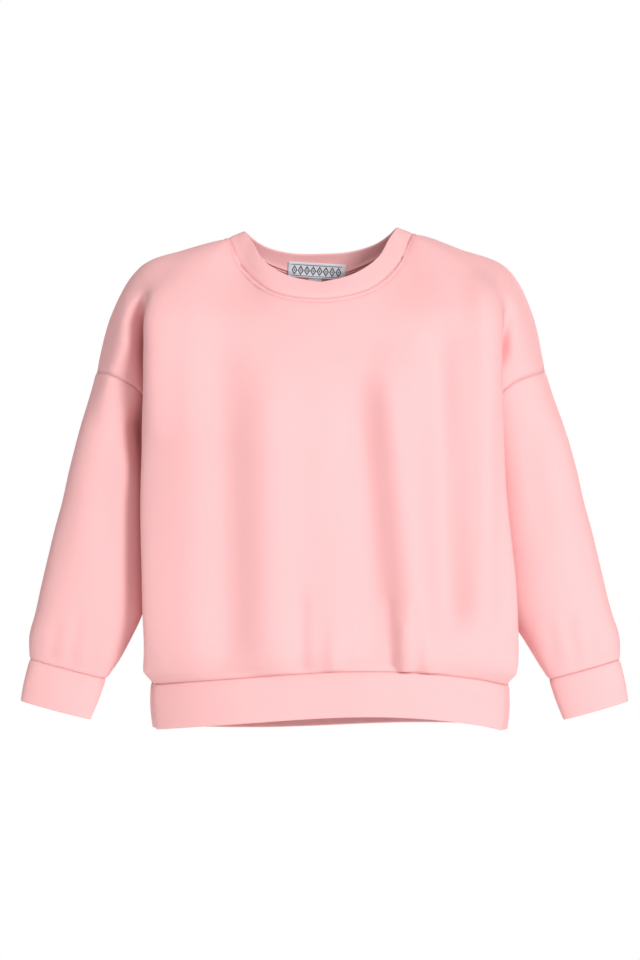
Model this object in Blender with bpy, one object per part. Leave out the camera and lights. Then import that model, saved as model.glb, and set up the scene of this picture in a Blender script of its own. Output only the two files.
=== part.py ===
"""Child's crew-neck sweatshirt with dropped shoulders, filled out as it is worn and hollow inside.

The front faces -Y and the wearer's left arm is at +X. The origin lies in the middle of the neck
opening, level with the points where the shoulder seams meet the collar. The side and shoulder
seams lie in the plane y = 0.
The tables give the half on the wearer's left in millimetres. The other half is its mirror image,
but for the deeper cleft between the chest and the right arm.
"""
import math

import bmesh
import bpy
import numpy as np
from mathutils import Vector
from mathutils.bvhtree import BVHTree

for old in list(bpy.data.objects):
    bpy.data.objects.remove(old, do_unlink=True)

# Driving dimensions, in millimetres.
MM = 0.001
FLEECE = 2.0                # thickness of the body and sleeves
BAND = 2.6                  # thickness of collar, cuffs and hem band, which are folded double
SEAM_GAP = 0.4              # between neighbouring pieces
HEM_BAND_HEIGHT = 44.0
CUFF_LENGTH = 41.0
CUFF_HALF_WIDTH = 35.5      # at the open end
CUFF_HALF_DEPTH = 14.0
CUFF_LEAN = math.radians(17.0)      # of the cuff's axis away from the body
CUFF_TILT = math.radians(15.0)      # of its open end
NECK_ROLL = math.radians(1.4)   # the wearer's left side of the collar sits higher
NECK_SHIFT = -2.3           # and the neck opening lies a little towards the right arm
BODY_LEAN = 6.8             # the lower body swings towards the wearer's left
ARM_IN = 4.0                # the upper left arm hangs that much closer to the body
ARM_DROP = 2.8              # and its cuff that much lower
HEM_SKEW = 2.5              # the hem rises to the wearer's left of the centre
# Where each of these begins, and over what distance it grows to its full amount.
NECK_AREA = (140.0, 48.0, -150.0, 90.0)     # inwards along x, then upwards along z
LEAN_AREA = (-230.0, 140.0)
HEM_AREA = (-380.0, 50.0)
HALF_CHEST = 175.0
ARM_AREA = (150.0, 50.0)
ARM_IN_AREA = (-125.0, 60.0)                # its middle height and its reach
ARM_DROP_AREA = (-340.0, 80.0)
HEM_DRAW = (0.993, 0.95, 1.0)   # how far the hem band's edge draws in from its seam
HEM_BULGE = 1.5
COLLAR_BULGE = 1.5
CUFF_BULGE = 1.0
LABEL_SIZE = (57.0, 15.0)
LABEL_CENTRE = (-6.3, -30.0)
LABEL_TILT = math.radians(-3.4)
TAB_SIZE = (14.0, 8.0)
TAB_CENTRE = (-8.2, -42.3)
LABEL_THICK = 1.0
LABEL_STANDOFF = 0.4

# Sections through the torso, from the hem seam up to the underarm.
# side height, lift of the front centre, front depth, fold edge x, fold edge depth, flank x, side x
TORSO = (
    (-435.0, 13.0, -86.0, 168.0, -40.0, 174.5, 175.0),
    (-423.0, 11.5, -94.0, 179.5, -50.0, 174.0, 171.0),
    (-355.0, 4.0, -96.0, 181.0, -60.0, 153.0, 150.0),
    (-288.0, -4.0, -101.0, 178.5, -62.0, 143.0, 142.0),
    (-240.0, -8.0, -103.0, 176.0, -62.0, 141.0, 142.5),
    (-214.0, -10.0, -103.0, 175.0, -62.0, 145.5, 150.0),
)
ACROSS = (0.0, 0.30, 0.57, 0.80)    # guide lines from the centre towards the fold edge
AROUND = (0.62, 0.26)               # depth of the two flank lines, as shares of the fold edge's
CHEST_POWER = 3.4                   # how suddenly the flat chest turns towards the fold edge
BACK_HEM_LIFT = -0.15               # lift of the back's centre, as a share of the front's

# Guide lines of the front above the underarm, one row for each level, the last one being the neck
# and shoulder seams. Each point is x, y, z.
# centre, quarter, neck side, neck point, fold edge, crease, arm front, armhole
YOKE = (
    ((0, -103, -190), (53, -103, -190), (99, -99, -189), (138, -88, -187),
     (174, -66, -185), (158, -43, -186), (147, -32, -190), (153, -24, -196)),
    ((0, -100, -155), (54, -99, -155), (99, -96, -154), (137, -88, -152),
     (173, -69, -150), (163, -46, -150), (158, -40, -157), (165, -39, -163)),
    ((0, -93, -120), (54, -92, -119), (98, -89, -115), (135, -84, -112),
     (172, -68, -108), (172, -40, -114), (179, -44, -128), (185, -41, -145)),
    ((0, -83, -90), (50, -79, -87), (91, -73, -78), (131, -75, -75),
     (170, -64, -75), (178, -45, -82), (190, -47, -103), (206, -33, -136)),
    ((0, -75, -72), (47, -68, -65), (83, -40, -42), (115, -42, -33),
     (157, -46, -45), (183, -38, -57), (200, -32, -86), (218, -16, -132)),
    ((0, -70, -62), (45, -61, -54.2), (76, -27, -28), (91, 0, 1.5),
     (134, 0, -11), (180, 0, -29.5), (206, 0, -72), (222, 0, -131)),
)
# The cleft between chest and right arm: how far its guide points are moved, x, y, z.
# level, guide line, movement
CLEFT = (
    (7, 5, (2, 14, 0)), (7, 6, (4, 16, 0)), (7, 7, (4, 12, 2)),
    (8, 5, (3, 16, 0)), (8, 6, (5, 12, 0)), (8, 7, (3, 0, 0)),
    (9, 5, (1, 12, 0)), (9, 6, (-1, 2, 0)),
    (10, 5, (0, 4, 0)),
)
NECK_COLUMN = 3             # the guide line that ends where collar and shoulder seam meet
# The back repeats the front's guide lines behind the seam plane, at these shares of its depth.
BACK_SHARE = (0.74, 0.74, 0.75, 0.77, 0.85, 1.05, 0.99, 1.0)
BACK_NECK = ((0, 45, -36), (45, 36, -25), (76, 16, -8))
NECK_LIFT = (0, 0, 0, 0, 0, 0, 0, 2, 7, 14, 24)      # of the back's centre, level by level
NECK_LIFT_SHARE = (1.0, 0.85, 0.6)      # of that lift, on the guide lines from the centre outwards

# Collar: the folded upper edge from the centre front over the shoulder to the centre back.
COLLAR_TOP = ((0, -58, -46), (31, -54, -39), (56, -37, -22.5), (68, -16, -3), (75.5, 0, 8.5),
              (68, 10, 2), (55, 23, -6), (30, 35, -12.6), (0, 38, -14))
COLLAR_STEPS = (2, 2, 2, 2, 2, 2, 2, 2)

# Sections across a sleeve below the armhole: inner edge x, z; outer edge x, z; half depth.
SLEEVE = (
    (161, -238, 239.5, -192, 43),
    (162, -262, 251.5, -239, 42),
    (168.5, -318, 266, -294, 41),
    (176.5, -367, 276, -341, 39),
    (189, -394, 282, -368, 35),
    (200, -414, 287.5, -389, 29),
    (213, -432, 287, -412.5, 19),
)

# Large folds: x, z of the upper end; x, z of the lower end; half width; depth, negative inwards.
FRONT_FOLDS = (
    (-103, -95, -96, -425, 24, -5.0),
    (-58, -150, -62, -420, 22, 2.5),
    (-14, -330, -11, -424, 12, -3.0),
    (34, -105, 52, -425, 22, -5.5),
    (78, -150, 88, -400, 18, 4.0),
    (118, -120, 124, -420, 18, -4.5),
    (155, -60, 150, -330, 16, 3.0),
    (-150, -240, -152, -415, 12, -2.5),
)
BACK_FOLDS = (
    (-105, -110, -98, -425, 26, -5.0),
    (-30, -170, -22, -425, 24, -3.5),
    (62, -150, 70, -425, 24, -5.0),
    (128, -190, 126, -425, 18, -3.5),
    (0, -60, 0, -160, 40, -3.0),
)
SLEEVE_FOLDS = (
    (196, -170, 214, -300, 12, -3.0),
    (246, -240, 262, -330, 12, -2.5),
    (232, -330, 247, -418, 8, -3.5),
    (258, -350, 268, -414, 7, -3.0),
    (212, -345, 226, -420, 7, -2.5),
)

# How finely each stretch between guide lines is divided.
COLUMN_STEPS = (3, 3, 2, 3, 3, 1, 1)
TORSO_STEPS = (2, 4, 4, 3, 2)
YOKE_STEPS = (2, 2, 2, 2, 2, 2)
SLEEVE_STEPS = (3, 2, 4, 3, 2, 2, 2)
BAND_STEPS = 4
FLIP = (-1.0, 1.0, 1.0)
FADE_ROWS = 2.0             # folds fade out over this many rows before a seam
SEAM_ROWS = 3.0             # and a panel is drawn onto its seams over this many

PINK = (0.90, 0.60, 0.60, 1.0)
PALE = (0.60, 0.66, 0.72, 1.0)
GREY = (0.40, 0.43, 0.48, 1.0)


def ease(value):
    """Smooth step from 0 to 1."""
    value = np.clip(value, 0.0, 1.0)
    return value * value * (3.0 - 2.0 * value)


def chord(points):
    """Knots at the mean distance between neighbouring guide lines."""
    steps = np.linalg.norm(np.diff(points, axis=0), axis=-1)
    return np.concatenate([[0.0], np.cumsum(steps.reshape(len(steps), -1).mean(axis=1))])


def spread(knots, steps):
    """Places along the knots, with each stretch divided into its own number of steps."""
    places = [np.linspace(a, b, n, endpoint=False) for a, b, n in zip(knots, knots[1:], steps)]
    return np.concatenate(places + [knots[-1:]])


def smooth(points, knots, places):
    """Cubic curves through the points along their first axis."""
    gap = np.diff(knots).reshape((-1,) + (1,) * (points.ndim - 1))
    slope = np.diff(points, axis=0) / gap
    tangent = np.empty_like(points)
    tangent[1:-1] = (gap[1:] * slope[:-1] + gap[:-1] * slope[1:]) / (gap[1:] + gap[:-1])
    tangent[0] = 1.5 * slope[0] - 0.5 * tangent[1]
    tangent[-1] = 1.5 * slope[-1] - 0.5 * tangent[-2]
    cell = np.clip(np.searchsorted(knots, places, side="right") - 1, 0, len(knots) - 2)
    length = gap[cell]
    t = (places - knots[cell]).reshape(length.shape) / length
    return ((1 + 2 * t) * (1 - t) ** 2 * points[cell] + t * (1 - t) ** 2 * length * tangent[cell]
            + t * t * (3 - 2 * t) * points[cell + 1] + t * t * (t - 1) * length * tangent[cell + 1])


def line_through(points, steps):
    """One smooth line through its own points."""
    knots = chord(points)
    return smooth(points, knots, spread(knots, steps))


def mirrored(right, left):
    """Full width from two halves that are given as on the wearer's left, from -x to +x."""
    return np.concatenate([right[:, :0:-1] * FLIP, left], axis=1)


def settle_body(points):
    """The wearer's left side of the neck sits a little higher, and the lower body swings that way."""
    x, z = points[..., 0].copy(), points[..., 2].copy()
    near_neck = (ease((NECK_AREA[0] - np.abs(x)) / NECK_AREA[1])
                 * ease((z - NECK_AREA[2]) / NECK_AREA[3]))
    points[..., 2] += x * near_neck * math.tan(NECK_ROLL)
    points[..., 0] += near_neck * NECK_SHIFT
    points[..., 0] += BODY_LEAN * ease((LEAN_AREA[0] - z) / LEAN_AREA[1])
    wave = np.sin(math.pi * x / HALF_CHEST)
    points[..., 2] += HEM_SKEW * wave * ease((HEM_AREA[0] - z) / HEM_AREA[1])
    return points


def settle_arm(points):
    """The left arm hangs a little closer to the body at its top than the right one, and lower."""
    x, z = points[..., 0], points[..., 2]
    left = ease((x - ARM_AREA[0]) / ARM_AREA[1])
    closer = left * np.exp(-((z - ARM_IN_AREA[0]) / ARM_IN_AREA[1]) ** 2)
    lower = left * ease((ARM_DROP_AREA[0] - z) / ARM_DROP_AREA[1])
    return points - closer[..., None] * (ARM_IN, 0.0, 0.0) - lower[..., None] * (0.0, 0.0, ARM_DROP)


def half_net(back, right):
    """Guide points of one half of the front or the back: levels by guide lines."""
    levels = []
    for height, lift, front, edge_x, edge_y, flank_x, side_x in TORSO:
        share = np.array(ACROSS)
        x = np.concatenate([share * edge_x, [edge_x, (edge_x + flank_x) / 2 - 1.5, flank_x, side_x]])
        y = np.concatenate([front + (edge_y - front) * share ** CHEST_POWER, [edge_y],
                            edge_y * np.array(AROUND), [0.0]])
        rise = lift * (BACK_HEM_LIFT if back else 1.0) * np.concatenate([1 - share ** 2, np.zeros(4)])
        level = np.stack([x, y, height + rise], axis=1)
        levels.append(level)
    levels.extend(np.array(level, float) for level in YOKE)
    net = np.array(levels, float)
    if back:
        net[..., 1] *= -np.array(BACK_SHARE)
        for level, lift in enumerate(NECK_LIFT):
            net[level, :NECK_COLUMN, 2] += lift * np.array(NECK_LIFT_SHARE)
        net[-1, :NECK_COLUMN] = BACK_NECK
    elif right:
        for level, column, movement in CLEFT:
            net[level, column] += movement
    return net


def sleeve_ring(section, angle):
    """Points around a sleeve, from its inner edge over the front (90 degrees) to the outer edge."""
    inner_x, inner_z, outer_x, outer_z, depth = section
    middle = np.array(((inner_x + outer_x) / 2, 0.0, (inner_z + outer_z) / 2))
    half = np.array(((inner_x - outer_x) / 2, 0.0, (inner_z - outer_z) / 2))
    angle = np.asarray(angle)[..., None]
    return middle + half * np.cos(angle) - np.array((0.0, depth, 0.0)) * np.sin(angle)


def travel(line):
    """Share of the line's length passed at each of its points."""
    steps = np.linalg.norm(np.diff(line, axis=0), axis=1)
    return np.concatenate([[0.0], np.cumsum(steps)]) / steps.sum()


def pull(grid, target, reach):
    """Move the first row of the grid onto the target, and the next rows less and less."""
    share = np.maximum(0.0, 1.0 - np.arange(len(grid)) / reach) ** 2
    return grid + share[:, None, None] * (target - grid[0])


def panel(net, beside, above):
    """Dense grid of a panel. beside: guide lines past both edges, above: the level past the top."""
    wide = np.concatenate([beside[:, :1], net, beside[:, 1:]], axis=1)
    tall = np.concatenate([wide, above[None]], axis=0)
    levels = chord(tall)
    rows = smooth(tall, levels, spread(levels[:-1], TORSO_STEPS + YOKE_STEPS))
    columns = chord(np.swapaxes(wide, 0, 1))
    steps = COLUMN_STEPS[::-1] + COLUMN_STEPS
    grid = smooth(np.swapaxes(rows, 0, 1), columns, spread(columns[1:-1], steps))
    return np.swapaxes(grid, 0, 1)


UNDERARM = len(TORSO) - 1
UNDERARM_ROW = sum(TORSO_STEPS)
NECK_STEPS = sum(COLUMN_STEPS[:NECK_COLUMN])
SIDE_COLUMNS = sum(COLUMN_STEPS)
NECK_FIRST = SIDE_COLUMNS - NECK_STEPS
NECK_LAST = SIDE_COLUMNS + NECK_STEPS


def body_panels():
    """Dense grids of front and back, meeting exactly at their shared seams."""
    grids = {}
    for name, sign in (("front", 1.0), ("back", -1.0)):
        nets, besides, aboves, edges = [], [], [], []
        for right in (True, False):
            net = half_net(name == "back", right)
            other = half_net(name != "back", right)
            armhole = net[UNDERARM:, -1]
            beside = other[:, -2].copy()
            beside[UNDERARM + 1:] = sleeve_ring(SLEEVE[0], math.pi * travel(armhole) * sign)[1:]
            above = other[-2].copy()
            above[:NECK_COLUMN] = 2 * net[-1, :NECK_COLUMN] - net[-2, :NECK_COLUMN]
            seam = line_through(net[:UNDERARM + 1, -1], TORSO_STEPS)
            hole = line_through(armhole, YOKE_STEPS)
            nets.append(net)
            besides.append(beside * (FLIP if right else 1.0))
            aboves.append(np.concatenate([above, sleeve_ring(SLEEVE[0], [math.pi])], axis=0)[None])
            edges.append(np.concatenate([seam, hole[1:]]) * (FLIP if right else 1.0))
        grid = panel(mirrored(*nets), np.stack(besides, axis=1), mirrored(*aboves)[0])

        shoulder = line_through(nets[1][-1, NECK_COLUMN:], COLUMN_STEPS[NECK_COLUMN:])
        neck_points = nets[1][-1:, :NECK_COLUMN + 1]
        neck = line_through(mirrored(neck_points, neck_points)[0],
                            COLUMN_STEPS[:NECK_COLUMN][::-1] + COLUMN_STEPS[:NECK_COLUMN])
        top = np.concatenate([shoulder[:0:-1] * FLIP, neck, shoulder[1:]])
        grid = pull(grid[::-1], top, SEAM_ROWS)[::-1]
        for edge, way in zip(edges, (1, -1)):
            turned = pull(np.swapaxes(grid, 0, 1)[::way], edge, SEAM_ROWS)
            grid = np.swapaxes(turned[::way], 0, 1)
        grids[name] = grid
    return grids


def sleeve_grid(front, back, right):
    """Grid of a sleeve as at +X and its points' angles: rows down the arm, columns from underarm."""
    if right:
        front, back = front[:, ::-1] * FLIP, back[:, ::-1] * FLIP
    hole = np.concatenate([front[UNDERARM_ROW:, -1], back[-2:UNDERARM_ROW:-1, -1]])
    inside = np.concatenate([front[UNDERARM_ROW:, -3], back[-2:UNDERARM_ROW:-1, -3]])
    inside[0] = (front[UNDERARM_ROW, -3] + back[UNDERARM_ROW, -3]) / 2
    angle = math.pi * np.concatenate([travel(front[UNDERARM_ROW:, -1]),
                                      2.0 - travel(back[UNDERARM_ROW:, -1])[-2:0:-1]])
    lines = np.array([inside, hole] + [sleeve_ring(section, angle) for section in SLEEVE])
    knots = chord(lines)
    return smooth(lines, knots, spread(knots[1:], SLEEVE_STEPS)), angle


def corner_normals(grid, closed):
    """Sum of the unit normals of the faces around every point of a grid."""
    wide = np.concatenate([grid, grid[:, :1]], axis=1) if closed else grid
    face = np.cross(wide[1:, 1:] - wide[:-1, :-1], wide[1:, :-1] - wide[:-1, 1:])
    face /= np.linalg.norm(face, axis=-1, keepdims=True)
    total = np.zeros(wide.shape)
    for rows in (slice(None, -1), slice(1, None)):
        for columns in (slice(None, -1), slice(1, None)):
            total[rows, columns] += face
    if closed:
        total[:, 0] += total[:, -1]
        total = total[:, :-1]
    return total


def share_normals(pieces):
    """Give points that several pieces share one common normal, so that walls meet face to face."""
    total = {}
    for piece in pieces:
        piece["normal"] = corner_normals(piece["grid"], piece["closed"]) * piece["facing"]
        for point, normal in zip(piece["grid"].reshape(-1, 3), piece["normal"].reshape(-1, 3)):
            key = tuple(np.round(point, 2))
            total[key] = total.get(key, 0.0) + normal
    for piece in pieces:
        common = np.array([total[tuple(np.round(point, 2))] for point in piece["grid"].reshape(-1, 3)])
        common /= np.linalg.norm(common, axis=1, keepdims=True)
        piece["normal"] = common.reshape(piece["grid"].shape)


def folded(grid, normal, folds, closed):
    """Press the listed folds into a grid, fading out before its seams."""
    rows = np.arange(len(grid))
    fade = ease(np.minimum(rows, rows[::-1]) / FADE_ROWS)[:, None]
    if not closed:
        columns = np.arange(grid.shape[1])
        fade = fade * ease(np.minimum(columns, columns[::-1]) / FADE_ROWS)[None]
    total = np.zeros(grid.shape[:2])
    for top_x, top_z, low_x, low_z, width, depth in folds:
        top = np.array((top_x, top_z), float)
        way = np.array((low_x, low_z), float) - top
        length = np.linalg.norm(way)
        offset = grid[..., ::2] - top
        along = offset @ way / length
        side = np.abs(offset[..., 0] * way[1] - offset[..., 1] * way[0]) / length
        ends = ease((along + width) / (3 * width)) * ease((length + width - along) / (3 * width))
        total += depth * ends * np.exp(-(side / width) ** 2)
    return grid + normal * (total * fade)[..., None]


def set_back(grid, closed):
    """Draw the borders of a grid in by half the seam gap."""
    result = grid.copy()
    for border, inner in ((0, 1), (-1, -2)):
        way = grid[inner] - grid[border]
        result[border] += way / np.linalg.norm(way, axis=1, keepdims=True) * SEAM_GAP / 2
        if not closed:
            way = grid[:, inner] - grid[:, border]
            result[:, border] += way / np.linalg.norm(way, axis=1, keepdims=True) * SEAM_GAP / 2
    return result


def material(name, colour, roughness):
    """Principled material."""
    made = bpy.data.materials.new(name)
    made.use_nodes = True
    shader = made.node_tree.nodes["Principled BSDF"]
    shader.inputs["Base Color"].default_value = colour
    shader.inputs["Roughness"].default_value = roughness
    shader.inputs["Metallic"].default_value = 0.0
    return made


def add_wall(name, outer, inner, closed, finish):
    """Closed solid between two grids of the same size."""
    rows, columns = outer.shape[:2]
    points = np.concatenate([outer.reshape(-1, 3), inner.reshape(-1, 3)]) * MM
    layer = rows * columns

    def corner(row, column, side):
        return side * layer + row * columns + column % columns

    faces = []
    spans = columns if closed else columns - 1
    for row in range(rows - 1):
        for column in range(spans):
            quad = [corner(row, column, 0), corner(row, column + 1, 0),
                    corner(row + 1, column + 1, 0), corner(row + 1, column, 0)]
            faces.append(quad)
            faces.append([index + layer for index in reversed(quad)])
    for column in range(spans):
        for row in (0, rows - 1):
            faces.append([corner(row, column, 0), corner(row, column + 1, 0),
                          corner(row, column + 1, 1), corner(row, column, 1)])
    if not closed:
        for row in range(rows - 1):
            for column in (0, columns - 1):
                faces.append([corner(row, column, 0), corner(row + 1, column, 0),
                              corner(row + 1, column, 1), corner(row, column, 1)])
    mesh = bpy.data.meshes.new(name)
    mesh.from_pydata(points.tolist(), [], faces)
    shell = bmesh.new()
    shell.from_mesh(mesh)
    bmesh.ops.recalc_face_normals(shell, faces=shell.faces)
    bmesh.ops.triangulate(shell, faces=shell.faces)
    shell.to_mesh(mesh)
    shell.free()
    mesh.shade_smooth()
    mesh.set_sharp_from_angle(angle=math.radians(50))
    mesh.materials.append(finish)
    made = bpy.data.objects.new(name, mesh)
    bpy.context.collection.objects.link(made)
    return made


def band_grid(seam, edge, bulge):
    """Grid from a seam loop to a free edge, bulging away from its middle halfway."""
    away = (seam - seam.mean(axis=0)) * (1, 1, 0)
    away *= bulge / np.linalg.norm(away, axis=1, keepdims=True)
    share = np.linspace(0, 1, BAND_STEPS + 1)[:, None, None]
    return seam + (edge - seam) * share + away * np.sin(math.pi * share)


def hem_band(front, back):
    """The folded band under the hem seam."""
    seam = np.concatenate([front[0, :-1], back[0, :-1]])
    edge = seam * HEM_DRAW - (0.0, 0.0, HEM_BAND_HEIGHT)
    return band_grid(seam, edge, HEM_BULGE)


def collar(front, back):
    """The folded neck band, from the neck seam up to its edge."""
    seam = np.concatenate([front[-1, NECK_FIRST:NECK_LAST], back[-1, NECK_FIRST:NECK_LAST]])
    left = line_through(np.array(COLLAR_TOP, float), COLLAR_STEPS)
    right = left * (-1, 1, 1)
    edge = np.concatenate([right[NECK_STEPS:0:-1], left[:-1], right[:NECK_STEPS:-1]])
    return band_grid(seam, settle_body(edge), COLLAR_BULGE)


def cuff(seam, angle):
    """The folded cuff at +X, from the sleeve's last row to its nearly flat open end."""
    middle = (seam[0] + seam[len(seam) // 2]) / 2
    middle += CUFF_LENGTH * np.array((math.sin(CUFF_LEAN), 0, -math.cos(CUFF_LEAN)))
    reach = CUFF_HALF_WIDTH * np.array((-math.cos(CUFF_TILT), 0, -math.sin(CUFF_TILT)))
    turn = angle[:, None]
    edge = middle + reach * np.cos(turn) - np.array((0, CUFF_HALF_DEPTH, 0)) * np.sin(turn)
    return band_grid(seam, edge, CUFF_BULGE)


# Places around a point of the label whose distance to the cloth behind is measured as well.
NEARBY = [(x, 0.0, z) for x in (-2.0, 0.0, 2.0) for z in (-3.5, -1.5, 0.0, 1.5, 3.5)]


def lay_inside(centre, size, tilt, standoff, carriers, steps):
    """Grid of a small piece that lies on the inner face of the back neck, a standoff clear of it."""
    grid = np.zeros((steps[1] + 1, steps[0] + 1, 3))
    for row, up in enumerate(np.linspace(-0.5, 0.5, steps[1] + 1)):
        for column, across in enumerate(np.linspace(-0.5, 0.5, steps[0] + 1)):
            x, z = across * size[0], up * size[1]
            place = (centre[0] + x * math.cos(tilt) - z * math.sin(tilt),
                     0.0, centre[1] + x * math.sin(tilt) + z * math.cos(tilt))
            hits = [tree.ray_cast(Vector(place) + Vector(shift), Vector((0, 1, 0)))[0]
                    for tree in carriers for shift in NEARBY]
            grid[row, column] = place
            grid[row, column, 1] = min(hit.y for hit in hits if hit) - standoff
    return grid


def tree_of(made):
    """Search tree of an object's faces, in millimetres."""
    points = [vertex.co / MM for vertex in made.data.vertices]
    return BVHTree.FromPolygons(points, [face.vertices for face in made.data.polygons])


# The pieces, in the order in which the cloth is sewn.
body = body_panels()
sleeves = {right: sleeve_grid(body["front"], body["back"], right) for right in (False, True)}
front = settle_arm(settle_body(body["front"]))
back = settle_arm(settle_body(body["back"]))[:, ::-1]
pieces = [
    dict(name="front", grid=front, closed=False, facing=1, folds=FRONT_FOLDS, wall=FLEECE),
    dict(name="back", grid=back, closed=False, facing=1, folds=BACK_FOLDS, wall=FLEECE),
    dict(name="hem_band", grid=hem_band(front, back), closed=True, facing=-1, folds=(), wall=BAND),
    dict(name="collar", grid=collar(front, back), closed=True, facing=1, folds=(), wall=BAND),
]
for side, sign in (("left", 1), ("right", -1)):
    flip = (sign, 1, 1)
    sleeve, sleeve_angle = sleeves[side == "right"]
    folds = [(x * sign, z, low_x * sign, low_z, width, depth)
             for x, z, low_x, low_z, width, depth in SLEEVE_FOLDS]
    pieces.append(dict(name="sleeve_" + side, grid=settle_arm(sleeve * flip), closed=True,
                       facing=-sign, folds=folds, wall=FLEECE))
    pieces.append(dict(name="cuff_" + side, grid=settle_arm(cuff(sleeve[-1], sleeve_angle) * flip),
                       closed=True, facing=-sign, folds=(), wall=BAND))
share_normals(pieces)

fleece = material("pink_fleece", PINK, 0.9)
band_cloth = material("pink_band_cloth", PINK, 0.9)
made = {}
for piece in pieces:
    outer = folded(piece["grid"], piece["normal"], piece["folds"], piece["closed"])
    outer = set_back(outer, piece["closed"])
    inner = outer - piece["normal"] * piece["wall"]
    finish = fleece if piece["wall"] == FLEECE else band_cloth
    made[piece["name"]] = add_wall(piece["name"], outer, inner, piece["closed"], finish)

carriers = [tree_of(made["collar"]), tree_of(made["back"])]
thickness = np.array((0.0, LABEL_THICK, 0.0))
label = lay_inside(LABEL_CENTRE, LABEL_SIZE, LABEL_TILT, LABEL_STANDOFF, carriers, (12, 4))
add_wall("neck_label", label - thickness, label, False, material("label_weave", PALE, 0.6))
tab = lay_inside(TAB_CENTRE, TAB_SIZE, LABEL_TILT, LABEL_STANDOFF, carriers, (3, 2))
add_wall("size_tab", tab - thickness, tab, False, material("tab_weave", GREY, 0.7))
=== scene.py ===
"""Child's crew-neck sweatshirt in thick pink fleece, filled out as on an invisible wearer."""
import math

import bmesh
import bpy
import numpy as np
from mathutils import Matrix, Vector
from mathutils.bvhtree import BVHTree


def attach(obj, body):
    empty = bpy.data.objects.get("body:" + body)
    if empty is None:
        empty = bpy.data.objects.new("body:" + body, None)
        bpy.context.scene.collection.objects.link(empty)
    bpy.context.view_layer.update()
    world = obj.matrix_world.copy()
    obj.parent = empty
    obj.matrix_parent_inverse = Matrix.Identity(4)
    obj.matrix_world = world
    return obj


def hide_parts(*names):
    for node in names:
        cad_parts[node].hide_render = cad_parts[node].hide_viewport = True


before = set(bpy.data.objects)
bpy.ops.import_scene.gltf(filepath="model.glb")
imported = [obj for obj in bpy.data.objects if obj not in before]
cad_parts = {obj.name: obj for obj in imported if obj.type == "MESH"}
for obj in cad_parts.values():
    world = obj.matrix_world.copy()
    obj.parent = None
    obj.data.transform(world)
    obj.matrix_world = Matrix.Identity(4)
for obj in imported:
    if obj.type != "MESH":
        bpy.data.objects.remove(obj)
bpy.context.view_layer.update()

# --------------------------------------------------------------
# Front. One panel of brushed cotton fleece, cut with a round neck and dropped shoulders. It is
# knitted smooth outside and brushed inside. Worn, the chest stands out over the arms, and the
# cloth hangs from it in a few broad, soft folds. All lengths of its shape are in millimetres.
# --------------------------------------------------------------
MM = 0.001
FLIP = (-1.0, 1.0, 1.0)
FLEECE = 2.0
FINER = 7                   # how many times closer its points are than those of the plain solid
BODY_COLUMNS = (3, 3, 2, 3, 3, 1, 1)
TORSO_ROWS = (2, 4, 4, 3, 2)
YOKE_ROWS = (2, 2, 2, 2, 2, 2)
NECK_CROWD = 1.8            # the last rows lie closer together, where the neck band is sewn on

# Sections through the torso, from the hem seam up to the underarm.
# side height, lift of the front centre, front depth, fold edge x, fold edge depth, flank x, side x
TORSO = (
    (-435.0, 13.0, -86.0, 168.0, -40.0, 174.5, 175.0),
    (-423.0, 11.5, -94.0, 179.5, -50.0, 174.0, 171.0),
    (-355.0, 4.0, -96.0, 181.0, -60.0, 153.0, 150.0),
    (-288.0, -4.0, -101.0, 178.5, -62.0, 143.0, 142.0),
    (-240.0, -8.0, -103.0, 176.0, -62.0, 141.0, 142.5),
    (-214.0, -10.0, -103.0, 175.0, -62.0, 145.5, 150.0),
)
ACROSS = (0.0, 0.30, 0.57, 0.80)    # guide lines from the centre towards the fold edge
AROUND = (0.62, 0.26)               # depth of the two flank lines, as shares of the fold edge's
CHEST_POWER = 3.4                   # how suddenly the flat chest turns towards the fold edge
FLANK_HOLLOW = 1.5                  # the flank draws in by this much between fold edge and side
BACK_HEM_LIFT = -0.15               # lift of the back's centre, as a share of the front's

# Guide lines above the underarm: x, y, z of each, the last row being the neck and shoulder seams.
# centre, quarter, neck side, neck point, fold edge, crease, arm front, armhole
YOKE = (
    ((0, -103, -190), (53, -103, -190), (99, -99, -189), (138, -88, -187),
     (174, -66, -185), (158, -43, -186), (147, -32, -190), (153, -24, -196)),
    ((0, -100, -155), (54, -99, -155), (99, -96, -154), (137, -88, -152),
     (173, -69, -150), (163, -46, -150), (158, -40, -157), (165, -39, -163)),
    ((0, -93, -120), (54, -92, -119), (98, -89, -115), (135, -84, -112),
     (172, -68, -108), (172, -40, -114), (179, -44, -128), (185, -41, -145)),
    ((0, -83, -90), (50, -79, -87), (91, -73, -78), (131, -75, -75),
     (170, -64, -75), (178, -45, -82), (190, -47, -103), (206, -33, -136)),
    ((0, -75, -72), (47, -68, -65), (83, -40, -42), (115, -42, -33),
     (157, -46, -45), (183, -38, -57), (200, -32, -86), (218, -16, -132)),
    ((0, -70, -62), (45, -61, -54.2), (76, -27, -28), (91, 0, 1.5),
     (134, 0, -11), (180, 0, -29.5), (206, 0, -72), (222, 0, -131)),
)
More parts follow.
